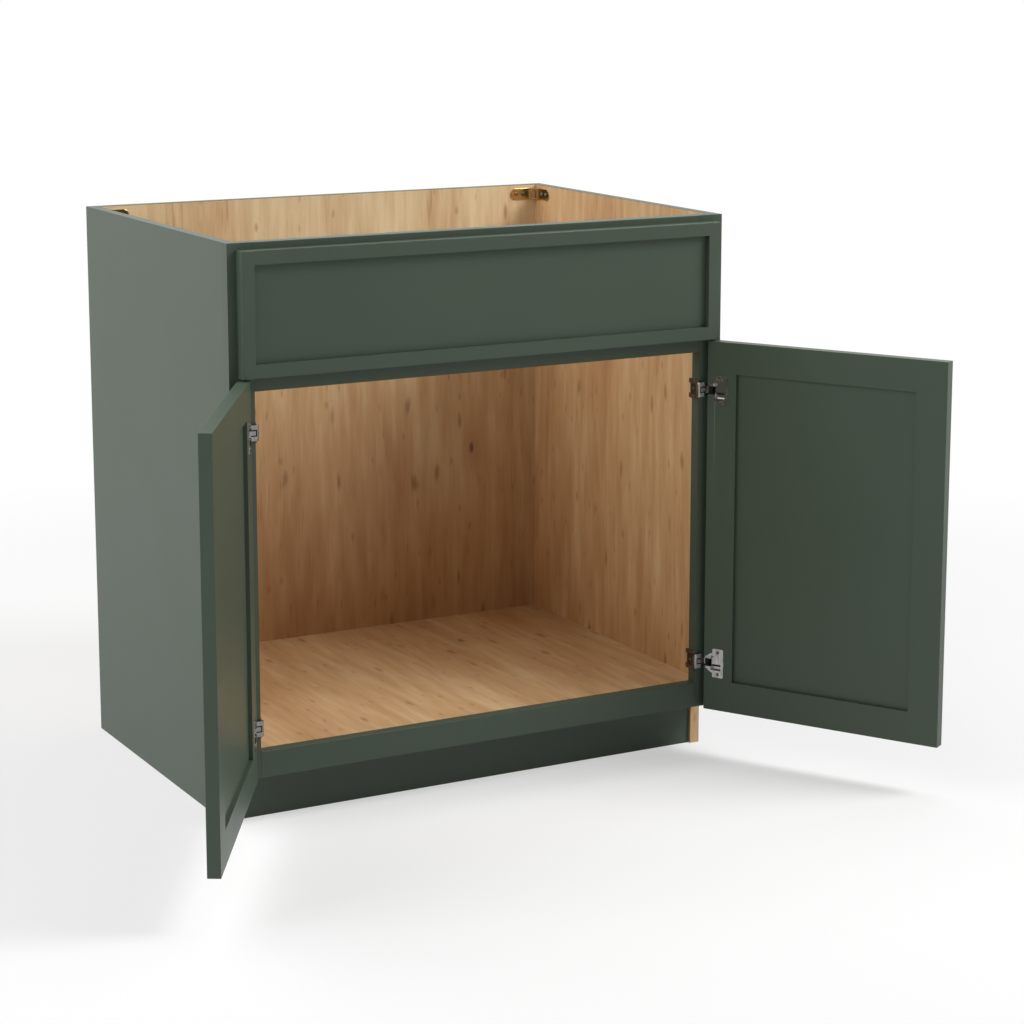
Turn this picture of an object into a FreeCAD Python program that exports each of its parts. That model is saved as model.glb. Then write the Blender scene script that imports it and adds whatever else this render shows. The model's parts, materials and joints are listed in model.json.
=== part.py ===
import FreeCAD, Part
import math
import os
from dataclasses import dataclass
from types import SimpleNamespace

import Sketcher
from FreeCAD import Placement, Rotation, Vector

# A sink base cabinet: a face-frame box with no top, a fixed false front and two doors on
# concealed wrap-around hinges. The origin is on the floor, in the middle of the wall side.
# +X points right as seen from the front, the front faces -Y and +Z points up, so a distance
# "out from the wall" is -Y. Lengths are millimetres. The doors stand open.

# Driving sizes: name, value, meaning.
SIZES = (
    ("cabinet_width", 838.2, "outside of the two side panels"),
    ("cabinet_height", 876.3, "floor to the top edge"),
    ("cabinet_depth", 590.5, "wall to the front of the face frame"),
    ("side_thickness", 15.9, "side panels"),
    ("back_thickness", 15.9, "back panel"),
    ("deck_thickness", 15.9, "bottom panel"),
    ("toe_board_thickness", 15.9, "toe-kick board"),
    ("groove_depth", 6.0, "grooves that hold the deck and the back"),
    ("joint_clearance", 0.2, "glue room in grooves and mortises"),
    ("frame_thickness", 19.05, "face frame stiles and rails"),
    ("stile_width", 39.6, "face frame stiles"),
    ("top_rail_height", 40.0, "face frame top rail"),
    ("mid_rail_height", 40.0, "face frame middle rail"),
    ("bottom_rail_height", 40.2, "face frame bottom rail"),
    ("mid_rail_lap", 18.5, "middle rail above the false front's lower edge"),
    ("tenon_length", 12.0, "rail tenons"),
    ("tenon_thickness", 6.4, "rail tenons"),
    ("tenon_shoulder", 6.0, "step above and below a tenon"),
    ("toe_height", 77.9, "floor to the underside of the bottom rail"),
    ("toe_setback", 53.0, "toe-kick board behind the frame front"),
    ("notch_setback", 47.9, "side panel foot behind the frame front"),
    ("deck_drop", 2.9, "deck top below the bottom rail top"),
    ("front_overlay", 25.5, "doors and false front over the face frame stiles"),
    ("front_thickness", 19.05, "doors and false front"),
    ("front_recess", 9.0, "panel face behind the front face"),
    ("front_panel_thickness", 4.0, "flat panels of doors and false front"),
    ("panel_clearance", 0.3, "round a flat panel in its rabbet"),
    ("lip_width", 20.5, "slim frame seen from the front"),
    ("leg_width", 50.0, "wide frame seen from the back"),
    ("edge_round", 1.2, "outer front edges of doors and false front"),
    ("false_front_height", 185.4, "false front"),
    ("false_front_drop", 10.2, "false front below the cabinet top"),
    ("front_screw_place", 200.0, "fixing screws from the middle of the false front"),
    ("front_screw_inset", 10.0, "fixing screws from the false front's long edges"),
    ("front_screw_bite", 12.0, "fixing screws into the false front"),
    ("front_screw_radius", 2.0, "fixing screw shank"),
    ("front_screw_head_radius", 4.5, "fixing screw head"),
    ("front_screw_head_height", 2.0, "fixing screw head"),
    ("screw_fit", 0.05, "round a screw shank"),
    ("front_gap", 2.7, "between the false front and the doors"),
    ("door_bottom", 76.6, "floor to the underside of a door"),
    ("door_gap", 3.4, "between the two closed doors"),
    ("door_stand_off", 2.0, "closed door in front of the frame"),
    ("open_angle", 120.0, "doors as shown"),
    ("hinge_end_distance", 78.5, "hinge middle from the door's end"),
    ("pivot_inset", 5.0, "hinge axis from the door's edge"),
    ("pivot_reach", 10.4, "hinge axis in front of the frame"),
    ("pin_radius", 1.25, "hinge pin"),
    ("pin_fit", 0.03, "round the pin in the cup"),
    ("eye_clearance", 0.06, "round the pin in the arm's eye"),
    ("eye_radius", 2.2, "rolled eye of the arm"),
    ("arm_thickness", 1.8, "bent strip of the arm"),
    ("arm_stand_off", 3.6, "arm in front of the frame"),
    ("arm_width", 23.5, "arm in front of the frame"),
    ("arm_leg_width", 17.0, "arm on the hinge base"),
    ("arm_leg_length", 17.0, "arm behind the frame front"),
    ("arm_bend_radius", 1.6, "inside of the arm's square bend"),
    ("arm_window_height", 10.0, "cut-out in the arm"),
    ("arm_window_length", 10.0, "cut-out in the arm"),
    ("arm_window_slit", 1.8, "width of the cut-out's slit"),
    ("neck_width", 12.0, "arm where it enters the cup"),
    ("arm_flat", 9.5, "stile edge to the end of the arm's plate"),
    ("neck_flat", 5.5, "flat of the neck beyond the plate"),
    ("neck_run", 3.5, "slope of the neck between its bends"),
    ("neck_mitre", 0.56, "shift of the outer bends against the inner ones"),
    ("arm_clearance", 0.4, "cup walls beside the arm"),
    ("arm_swing_room", 1.2, "cup floor and end beyond the arm"),
    ("cup_centre", 18.75, "cup middle from the door's edge"),
    ("cup_depth", 8.0, "cup in the door"),
    ("cup_fit", 0.25, "bore round the cup"),
    ("lug_thickness", 3.8, "lugs that hold the pin"),
    ("lug_floor", 0.8, "cup floor under the eye"),
    ("tray_lead", 3.6, "cup tray beyond the end of the arm's plate"),
    ("cup_slot_height", 3.0, "slot in the floor of the cup tray"),
    ("cup_slot_level", 5.2, "slot from the middle of the cup"),
    ("cup_slot_depth", 2.6, "slot in the floor of the cup tray"),
    ("lug_length", 4.0, "lugs beyond the neck's first bend"),
    ("rim_width", 0.75, "cup rim on the door"),
    ("flange_width", 19.5, "screw flange of the cup"),
    ("flange_height", 47.5, "screw flange of the cup"),
    ("flange_thickness", 0.9, "screw flange of the cup"),
    ("flange_corner", 2.5, "corners of the screw flange"),
    ("edge_notch_spare", 0.4, "notch in the door's edge beyond the hinge axis"),
    ("cup_screw_inset", 24.7, "flange screws from the door's edge"),
    ("cup_screw_spacing", 36.0, "flange screws"),
    ("base_thickness", 1.8, "hinge base"),
    ("base_tail", 6.0, "ears of the hinge base behind the frame"),
    ("base_ear_gap", 16.0, "between the ears of the hinge base"),
    ("base_front_gap", 0.6, "hinge base behind the frame front"),
    ("base_hook_length", 5.5, "hook of the base behind the frame"),
    ("base_hook_fit", 0.05, "hook behind the frame"),
    ("base_corner", 2.0, "corners of the hinge base"),
    ("base_screw_clearance", 0.8, "heads of the base screws beside the arm"),
    ("base_margin", 1.05, "hinge base beyond the heads of its screws"),
    ("hinge_screw_radius", 1.5, "hinge screw shank"),
    ("hinge_screw_head_radius", 2.7, "hinge screw head"),
    ("hinge_screw_head_height", 0.8, "hinge screw head"),
    ("hinge_screw_length", 9.0, "hinge screw shank"),
    ("brace_leg", 50.0, "corner brace along each wall"),
    ("brace_cut", 14.0, "corner brace bridge from the corner"),
    ("brace_height", 19.5, "corner brace"),
    ("brace_thickness", 2.0, "corner brace"),
    ("brace_drop", 6.0, "corner brace below the cabinet top"),
    ("brace_end_radius", 9.0, "rounded ends of a corner brace"),
    ("brace_window_height", 15.0, "cut-out in the bridge of a brace"),
    ("brace_window_length", 7.0, "cut-out in the bridge of a brace"),
    ("brace_near_hole", 26.5, "first screw of a brace from the corner"),
    ("brace_far_hole", 39.5, "second screw of a brace from the corner"),
    ("brace_screw_radius", 1.7, "brace screw shank"),
    ("brace_screw_head_radius", 3.4, "brace screw head"),
    ("brace_screw_head_height", 1.8, "brace screw head"),
    ("brace_screw_length", 12.0, "brace screw shank"),
    ("hole_spare", 0.3, "pilot hole beyond a screw's tip"),
)

doc = FreeCAD.newDocument("sink_base_cabinet")
sheet = doc.addObject("Spreadsheet::Sheet", "Sizes")
for row, (alias, number, meaning) in enumerate(SIZES, 1):
    sheet.set(f"A{row}", alias)
    sheet.set(f"B{row}", str(number))
    sheet.set(f"C{row}", meaning)
    sheet.setAlias(f"B{row}", alias)
doc.recompute()


class Size:
    """A length or angle that follows the sheet: text for expressions, value for numbers."""

    def __init__(self, text):
        self.text = text

    @property
    def value(self):
        return float(sheet.evalExpression(self.text))

    def _join(self, sign, other):
        right = other.text if isinstance(other, Size) else str(other)
        return Size(f"({self.text} {sign} {right})")

    def __add__(self, other):
        return self._join("+", other)

    def __sub__(self, other):
        return self._join("-", other)

    def __mul__(self, other):
        return self._join("*", other)

    def __truediv__(self, other):
        return self._join("/", other)

    def __neg__(self):
        return self * -1


size = SimpleNamespace(**{alias: Size(f"Sizes.{alias}") for alias, _, _ in SIZES})
zero = Size("0")


def root(square):
    return Size(f"sqrt({square.text})")


# Places worked out from the driving sizes.
half_width = size.cabinet_width / 2
inner_half = half_width - size.side_thickness
grooved_half = inner_half + size.groove_depth
opening_half = half_width - size.stile_width
frame_back = size.cabinet_depth - size.frame_thickness
frame_middle = size.cabinet_depth - size.frame_thickness / 2
top_rail_bottom = size.cabinet_height - size.top_rail_height
deck_top = size.toe_height + size.bottom_rail_height - size.deck_drop
deck_bottom = deck_top - size.deck_thickness
front_leg_thickness = size.front_thickness - size.front_recess - size.front_panel_thickness
false_front_bottom = size.cabinet_height - size.false_front_drop - size.false_front_height
false_front_middle = false_front_bottom + size.false_front_height / 2
front_screw_level = size.false_front_height / 2 - size.front_screw_inset
mid_rail_top = false_front_bottom + size.mid_rail_lap
front_half = opening_half + size.front_overlay
door_width = front_half - size.door_gap / 2
door_height = false_front_bottom - size.front_gap - size.door_bottom
door_middle = size.door_bottom + door_height / 2
hinge_level = door_height / 2 - size.hinge_end_distance
pivot_x = front_half - size.pivot_inset
pivot_y = -(size.cabinet_depth + size.pivot_reach)
brace_middle = size.cabinet_height - size.brace_drop - size.brace_height / 2
brace_holes = (size.brace_near_hole, size.brace_far_hole)

# Hinge places, as distances from the closed door's edge and in front of the frame.
pivot_depth = size.pivot_reach - size.door_stand_off
base_face = size.front_overlay + size.base_thickness
arm_face = base_face + size.arm_thickness
arm_front = size.arm_stand_off + size.arm_thickness
arm_half = size.arm_width / 2 + size.arm_clearance
base_screw_level = size.arm_leg_width / 2 + size.base_screw_clearance + size.hinge_screw_head_radius
base_half = base_screw_level + size.hinge_screw_head_radius + size.base_margin
plate_end = size.front_overlay - size.arm_flat
neck_foot = plate_end - size.neck_flat
neck_bend = neck_foot - size.neck_run
lug_start = size.pivot_inset - size.eye_radius - size.arm_clearance
lug_end = neck_bend + size.lug_length
lug_half = size.neck_width / 2 + size.arm_clearance + size.lug_thickness
pit_floor = size.pivot_reach + size.eye_radius + size.arm_clearance
lug_front = pit_floor + size.lug_floor
tray_floor = arm_front + size.arm_swing_room
tray_end = arm_face + size.arm_swing_room
tray_start = plate_end - size.tray_lead
# The round cup just takes in the far corners of the closed arm.
cup_reach = arm_face - size.cup_centre
cup_radius = root(cup_reach * cup_reach + arm_half * arm_half)
flange_end = size.cup_centre + cup_radius
rim_back = size.door_stand_off - size.flange_thickness


@dataclass
class Outline:
    """A closed straight-sided outline whose corners follow the sheet."""

    points: list

    def draw(self, sketch):
        corners = [Vector(x.value, y.value, 0) for x, y in self.points]
        count = len(corners)
        first = sketch.GeometryCount
        for n, corner in enumerate(corners):
            sketch.addGeometry(Part.LineSegment(corner, corners[(n + 1) % count]))
        for n, (x, y) in enumerate(self.points):
            line = first + n
            follower = first + (n + 1) % count
            sketch.addConstraint(Sketcher.Constraint("Coincident", line, 2, follower, 1))
            bind_point(sketch, line, 1, x, y)


@dataclass
class Disc:
    """A circle whose middle and radius follow the sheet."""

    x: Size
    y: Size
    radius: Size

    def draw(self, sketch):
        middle = Vector(self.x.value, self.y.value, 0)
        ring = sketch.addGeometry(Part.Circle(middle, Vector(0, 0, 1), self.radius.value))
        bind(sketch, Sketcher.Constraint("Radius", ring, self.radius.value), self.radius)
        bind_point(sketch, ring, 3, self.x, self.y)


def bind(sketch, constraint, length):
    """Add a constraint and tie its value to the sheet."""
    number = sketch.addConstraint(constraint)
    sketch.setExpression(f"Constraints[{number}]", length.text)


def bind_point(sketch, geometry, end, x, y):
    """Place one point of a sketch from the origin."""
    bind(sketch, Sketcher.Constraint("DistanceX", -1, 1, geometry, end, x.value), x)
    bind(sketch, Sketcher.Constraint("DistanceY", -1, 1, geometry, end, y.value), y)


def rectangle(left, right, bottom, top):
    return Outline([(left, bottom), (right, bottom), (right, top), (left, top)])


def new_body(label, placement=None):
    body = doc.addObject("PartDesign::Body", label)
    body.Label = label
    if placement:
        body.setExpression("Placement", placement)
    return body


def new_sketch(body, role, start, shapes):
    """Draw shapes on an origin plane moved along its normal.

    XY sketches lie across +Z, YZ sketches across +X and XZ sketches across -Y.
    """
    sketch = body.newObject("Sketcher::SketchObject", f"{body.Name}_sketch")
    plane = next(item for item in body.Origin.OriginFeatures if item.Role == role)
    sketch.AttachmentSupport = (plane, "")
    sketch.MapMode = "FlatFace"
    sketch.setExpression("AttachmentOffset.Base.z", start.text)
    for shape in shapes:
        shape.draw(sketch)
    return sketch


def volume_of(body):
    return body.Shape.Volume if body.Tip else 0.0


def pad(body, role, start, length, *shapes):
    """Add a prism that starts at a distance along the plane's normal."""
    before = volume_of(body)
    feature_sketch = new_sketch(body, role, start, shapes)
    feature = body.newObject("PartDesign::Pad", f"{body.Name}_pad")
    feature.Profile = feature_sketch
    feature.setExpression("Length", length.text)
    doc.recompute()
    if volume_of(body) <= before:
        raise RuntimeError(f"{feature.Name} adds nothing")


def pocket(body, role, start, length, *shapes):
    """Cut a prism that starts at a distance along the plane's normal."""
    before = volume_of(body)
    feature_sketch = new_sketch(body, role, start, shapes)
    feature = body.newObject("PartDesign::Pocket", f"{body.Name}_pocket")
    feature.Profile = feature_sketch
    feature.Reversed = True
    feature.setExpression("Length", length.text)
    doc.recompute()
    if volume_of(body) >= before:
        raise RuntimeError(f"{feature.Name} cuts nothing")


# A mark this near to an edge lies on it.
ON_EDGE = 1e-5


def round_edges(body, radius, *points):
    """Round each edge that passes through one of the points."""
    carrier = body.Tip
    marks = [Part.Vertex(x.value, y.value, z.value) for x, y, z in points]
    names = []
    for number, edge in enumerate(carrier.Shape.Edges, 1):
        if any(edge.distToShape(mark)[0] < ON_EDGE for mark in marks):
            names.append(f"Edge{number}")
    if len(names) < len(marks):
        raise RuntimeError(f"{body.Label} lacks an edge to round")
    feature = body.newObject("PartDesign::Fillet", f"{body.Name}_fillet")
    feature.Base = (carrier, names)
    feature.setExpression("Radius", radius.text)
    doc.recompute()


def span(side, near, far):
    """Start and length along +X of a stretch on the right (+1) or left (-1) of the middle."""
    return (near if side > 0 else -far), far - near


def both_sides(distance):
    return (distance, -distance)


SIDES = (("left", -1), ("right", 1))
HALF_TURN = 180
FULL_TURN = 360


# Carcass panels.

def make_side_panel(name, side):
    """Side panel with a toe notch, a groove for the deck and a rabbet for the back."""
    body = new_body(f"{name}_side_panel")
    foot = size.cabinet_depth - size.notch_setback
    outline = Outline([
        (zero, zero),
        (zero, size.cabinet_height),
        (-frame_back, size.cabinet_height),
        (-frame_back, size.toe_height),
        (-foot, size.toe_height),
        (-foot, zero),
    ])
    pad(body, "YZ_Plane", *span(side, inner_half, half_width), outline)
    groove = span(side, inner_half, grooved_half)
    pocket(body, "YZ_Plane", *groove, rectangle(-frame_back, zero, deck_bottom, deck_top))
    back_rabbet = rectangle(-size.back_thickness, zero, zero, size.cabinet_height)
    pocket(body, "YZ_Plane", *groove, back_rabbet)
    hole_depth = size.brace_screw_length + size.hole_spare
    hole_radius = size.brace_screw_radius + size.screw_fit
    holes = []
    for distance in brace_holes:
        holes.append(Disc(-(size.back_thickness + distance), brace_middle, hole_radius))
        holes.append(Disc(-(frame_back - distance), brace_middle, hole_radius))
    pocket(body, "YZ_Plane", *span(side, inner_half, inner_half + hole_depth), *holes)


def make_back_panel():
    body = new_body("back_panel")
    half = grooved_half - size.joint_clearance
    sheet_outline = rectangle(-half, half, zero, size.cabinet_height)
    pad(body, "XZ_Plane", zero, size.back_thickness, sheet_outline)
    groove = size.back_thickness - size.groove_depth
    deck_groove = rectangle(-half, half, deck_bottom, deck_top)
    pocket(body, "XZ_Plane", groove, size.groove_depth, deck_groove)
    make_brace_pilots(body, size.back_thickness - size.brace_screw_length - size.hole_spare)


def make_brace_pilots(body, start):
    """Pilot holes for the two braces that meet a panel across the back or the front."""
    radius = size.brace_screw_radius + size.screw_fit
    holes = []
    for distance in brace_holes:
        for x in both_sides(inner_half - distance):
            holes.append(Disc(x, brace_middle, radius))
    pocket(body, "XZ_Plane", start, size.brace_screw_length + size.hole_spare, *holes)


def make_deck_panel():
    body = new_body("deck_panel")
    half = grooved_half - size.joint_clearance
    rear = size.back_thickness - size.groove_depth + size.joint_clearance
    pad(body, "XY_Plane", deck_bottom, size.deck_thickness, rectangle(-half, half, -frame_back, -rear))


def make_toe_kick_board():
    body = new_body("toe_kick_board")
    start = size.cabinet_depth - size.toe_setback - size.toe_board_thickness
    board = rectangle(-inner_half, inner_half, zero, deck_bottom)
    pad(body, "XZ_Plane", start, size.toe_board_thickness, board)


# Face frame: rails with tenons in mortised stiles.

FRAME_RAILS = {
    "frame_top_rail": (top_rail_bottom, size.cabinet_height),
    "frame_mid_rail": (mid_rail_top - size.mid_rail_height, mid_rail_top),
    "frame_bottom_rail": (size.toe_height, size.toe_height + size.bottom_rail_height),
}
tenon_back = frame_middle - size.tenon_thickness / 2


def make_frame_rail(label):
    bottom, top = FRAME_RAILS[label]
    body = new_body(label)
    rail = rectangle(-opening_half, opening_half, bottom, top)
    pad(body, "XZ_Plane", frame_back, size.frame_thickness, rail)
    reach = opening_half + size.tenon_length
    tenons = rectangle(-reach, reach, bottom + size.tenon_shoulder, top - size.tenon_shoulder)
    pad(body, "XZ_Plane", tenon_back, size.tenon_thickness, tenons)
    return body


def make_false_front_passages(body, level):
    """Holes right through a face frame rail for the false front's screws."""
    radius = size.front_screw_radius + size.screw_fit
    holes = [Disc(x, level, radius) for x in both_sides(size.front_screw_place)]
    pocket(body, "XZ_Plane", frame_back, size.frame_thickness, *holes)


def make_frame_stile(name, side):
    body = new_body(f"{name}_frame_stile")
    post = rectangle(-size.cabinet_depth, -frame_back, size.toe_height, size.cabinet_height)
    pad(body, "YZ_Plane", *span(side, opening_half, half_width), post)
    mortises = []
    for bottom, top in FRAME_RAILS.values():
        low = bottom + size.tenon_shoulder - size.joint_clearance
        high = top - size.tenon_shoulder + size.joint_clearance
        rear = tenon_back - size.joint_clearance
        front = rear + size.tenon_thickness + size.joint_clearance * 2
        mortises.append(rectangle(-front, -rear, low, high))
    mortise_end = opening_half + size.tenon_length + size.joint_clearance
    pocket(body, "YZ_Plane", *span(side, opening_half, mortise_end), *mortises)
    pilots = []
    for level in both_sides(hinge_level):
        for offset in (zero, *both_sides(base_screw_level)):
            radius = size.hinge_screw_radius + size.screw_fit
            pilots.append(Disc(-frame_middle, door_middle + level + offset, radius))
    pilot_end = opening_half + size.hinge_screw_length
    pocket(body, "YZ_Plane", *span(side, opening_half, pilot_end), *pilots)


# Framed fronts: a slim lip in front, a wide leg behind and a flat panel in the rabbet between.

@dataclass
class FramedFront:
    """Places of one framed front in its own frame: -Y is its face and Z = 0 its middle."""

    left: Size
    back: Size
    width: Size
    height: Size
    placement: str

    def __post_init__(self):
        self.right = self.left + self.width
        self.face = self.back - size.front_thickness
        self.shelf = self.back - front_leg_thickness
        self.top = self.height / 2

    def make_stile(self, label, inward):
        """Upright with an L section; inward is +1 at the left edge and -1 at the right."""
        edge = self.left if inward > 0 else self.right
        lip = edge + size.lip_width * inward
        leg = edge + size.leg_width * inward
        body = new_body(label, self.placement)
        section = Outline([
            (edge, self.face),
            (lip, self.face),
            (lip, self.shelf),
            (leg, self.shelf),
            (leg, self.back),
            (edge, self.back),
        ])
        pad(body, "XY_Plane", -self.top, self.height, section)
        lip_middle = edge + size.lip_width * (inward / 2)
        round_edges(
            body,
            size.edge_round,
            (edge, self.face, zero),
            (lip_middle, self.face, self.top),
            (lip_middle, self.face, -self.top),
        )
        return body

    def make_rail(self, label, up):
        """Rail whose lip laps over the stiles' legs; up is +1 at the top and -1 below."""
        edge = self.top * up
        lip = (self.top - size.lip_width) * up
        leg = (self.top - size.leg_width) * up
        body = new_body(label, self.placement)
        lip_section = rectangle(self.face, self.shelf, lip, edge)
        lip_length = self.width - size.lip_width * 2
        pad(body, "YZ_Plane", self.left + size.lip_width, lip_length, lip_section)
        leg_section = rectangle(self.shelf, self.back, leg, edge)
        leg_length = self.width - size.leg_width * 2
        pad(body, "YZ_Plane", self.left + size.leg_width, leg_length, leg_section)
        round_edges(body, size.edge_round, (self.left + self.width / 2, self.face, edge))
        return body

    def make_panel(self, label):
        body = new_body(label, self.placement)
        inset = size.lip_width + size.panel_clearance
        half = self.top - inset
        sheet_outline = rectangle(self.left + inset, self.right - inset, -half, half)
        pad(body, "XZ_Plane", -self.shelf, size.front_panel_thickness, sheet_outline)
        return body


def make_false_front():
    spot = f"vector(0; {(-size.cabinet_depth).text}; {false_front_middle.text})"
    front = FramedFront(
        left=-front_half,
        back=zero,
        width=front_half * 2,
        height=size.false_front_height,
        placement=f"placement({spot}; rotation(0; 0; 0))",
    )
    front.make_stile("false_front_left_stile", 1)
    front.make_stile("false_front_right_stile", -1)
    front.make_panel("false_front_panel")
    radius = size.front_screw_radius + size.screw_fit
    for name, up in (("top", 1), ("bottom", -1)):
        rail = front.make_rail(f"false_front_{name}_rail", up)
        level = front_screw_level * up
        pilots = [Disc(x, level, radius) for x in both_sides(size.front_screw_place)]
        pocket(rail, "XZ_Plane", zero, size.front_screw_bite + size.hole_spare, *pilots)


# Doors and hinges share one kind of frame: its origin is on the hinge axis, +X runs to the
# door's free edge and +Y into the cabinet. The right-hand copy is turned half round about Y,
# as one kind of hinge serves both doors: the slot in its cup then lies below the middle.

def hung(side, level, angle):
    """Placement on a hinge axis, at a height and turned by a door angle."""
    base = f"vector({(pivot_x * side).text}; {pivot_y.text}; {level.text})"
    pitch = HALF_TURN if side > 0 else 0
    return f"placement({base}; rotation({(angle * side).text}; {pitch}; 0))"


def from_edge(distance):
    """Hinge-frame X of a distance from the closed door's edge."""
    return distance - size.pivot_inset


def in_front(distance):
    """Hinge-frame Y of a distance in front of the face frame."""
    return size.pivot_reach - distance


def outward(distance):
    """The same distance along an XZ sketch's normal."""
    return distance - size.pivot_reach


def hinge_outline(points):
    return Outline([(from_edge(u), in_front(v)) for u, v in points])


door_back = outward(size.door_stand_off)


def bore_for_hinges(body, pieces):
    """Cut the named hinge recesses of a door at both hinge heights."""
    fit = size.cup_fit
    for level in both_sides(hinge_level):
        if "cup" in pieces:
            bore = Disc(from_edge(size.cup_centre), level, cup_radius + fit)
            pocket(body, "XZ_Plane", door_back, size.cup_depth + fit, bore)
        if "lugs" in pieces:
            half = lug_half + fit
            left, right = from_edge(lug_start - fit), from_edge(lug_end + fit)
            pit = rectangle(left, right, level - half, level + half)
            pocket(body, "XZ_Plane", door_back, lug_front + fit - size.door_stand_off, pit)
            half = size.neck_width / 2 + size.arm_clearance * 2
            notch = rectangle(from_edge(-size.edge_round), left, level - half, level + half)
            pocket(body, "XZ_Plane", door_back, pivot_depth + size.edge_notch_spare, notch)
        radius = size.hinge_screw_radius + size.screw_fit
        depth = size.hinge_screw_length - size.flange_thickness + size.hole_spare
        x = from_edge(size.cup_screw_inset)
        half = size.cup_screw_spacing / 2
        pilots = [Disc(x, level + offset, radius) for offset in both_sides(half)]
        pocket(body, "XZ_Plane", door_back, depth, *pilots)


def make_door(name, side):
    front = FramedFront(
        left=from_edge(zero),
        back=in_front(size.door_stand_off),
        width=door_width,
        height=door_height,
        placement=hung(side, door_middle, size.open_angle),
    )
    hinge_stile = front.make_stile(f"{name}_door_hinge_stile", 1)
    bore_for_hinges(hinge_stile, ("cup", "lugs"))
    front.make_stile(f"{name}_door_free_stile", -1)
    upper, lower = ("bottom", "top") if side > 0 else ("top", "bottom")
    front.make_rail(f"{name}_door_{upper}_rail", 1)
    front.make_rail(f"{name}_door_{lower}_rail", -1)
    panel = front.make_panel(f"{name}_door_panel")
    bore_for_hinges(panel, ("cup",))


def make_hinge_cup(label, placement):
    """Die-cast cup: round body, pin lugs, rim and flange, with a tray that clears the arm."""
    body = new_body(label, placement)
    centre = from_edge(size.cup_centre)
    pad(body, "XZ_Plane", door_back, size.cup_depth, Disc(centre, zero, cup_radius))
    lugs = rectangle(from_edge(lug_start), from_edge(lug_end), -lug_half, lug_half)
    pad(body, "XZ_Plane", door_back, lug_front - size.door_stand_off, lugs)
    rim = Disc(centre, zero, cup_radius + size.rim_width)
    pad(body, "XZ_Plane", outward(rim_back), size.flange_thickness, rim)
    right = from_edge(flange_end)
    left = right - size.flange_width
    top = size.flange_height / 2
    pad(body, "XZ_Plane", outward(rim_back), size.flange_thickness, rectangle(left, right, -top, top))
    middle = in_front(rim_back + size.flange_thickness / 2)
    corners = [(x, middle, z) for x in (left, right) for z in both_sides(top)]
    round_edges(body, size.flange_corner, *corners)
    neck_half = size.neck_width / 2 + size.arm_clearance
    neck_slot = hinge_outline([
        (lug_start - cup_radius, rim_back - size.arm_clearance),
        (lug_start - cup_radius, pit_floor),
        (neck_bend + size.arm_swing_room, pit_floor),
        (neck_foot + size.arm_swing_room, tray_floor),
        (tray_end, tray_floor),
        (tray_end, rim_back - size.arm_clearance),
    ])
    pocket(body, "XY_Plane", -neck_half, neck_half * 2, neck_slot)
    tray = hinge_outline([
        (tray_start, rim_back - size.arm_clearance),
        (tray_start, tray_floor),
        (tray_end, tray_floor),
        (tray_end, rim_back - size.arm_clearance),
    ])
    pocket(body, "XY_Plane", -arm_half, arm_half * 2, tray)
    slot_bottom = size.cup_slot_level - size.cup_slot_height / 2
    slot_top = slot_bottom + size.cup_slot_height
    slot = rectangle(from_edge(tray_start), from_edge(arm_face), slot_bottom, slot_top)
    pocket(body, "XZ_Plane", outward(tray_floor), size.cup_slot_depth, slot)
    pin_hole = Disc(zero, zero, size.pin_radius + size.pin_fit)
    pocket(body, "XY_Plane", -lug_half, lug_half * 2, pin_hole)
    x = from_edge(size.cup_screw_inset)
    radius = size.hinge_screw_radius + size.screw_fit
    holes = [Disc(x, z, radius) for z in both_sides(size.cup_screw_spacing / 2)]
    pocket(body, "XZ_Plane", outward(rim_back), size.flange_thickness, *holes)


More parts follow.
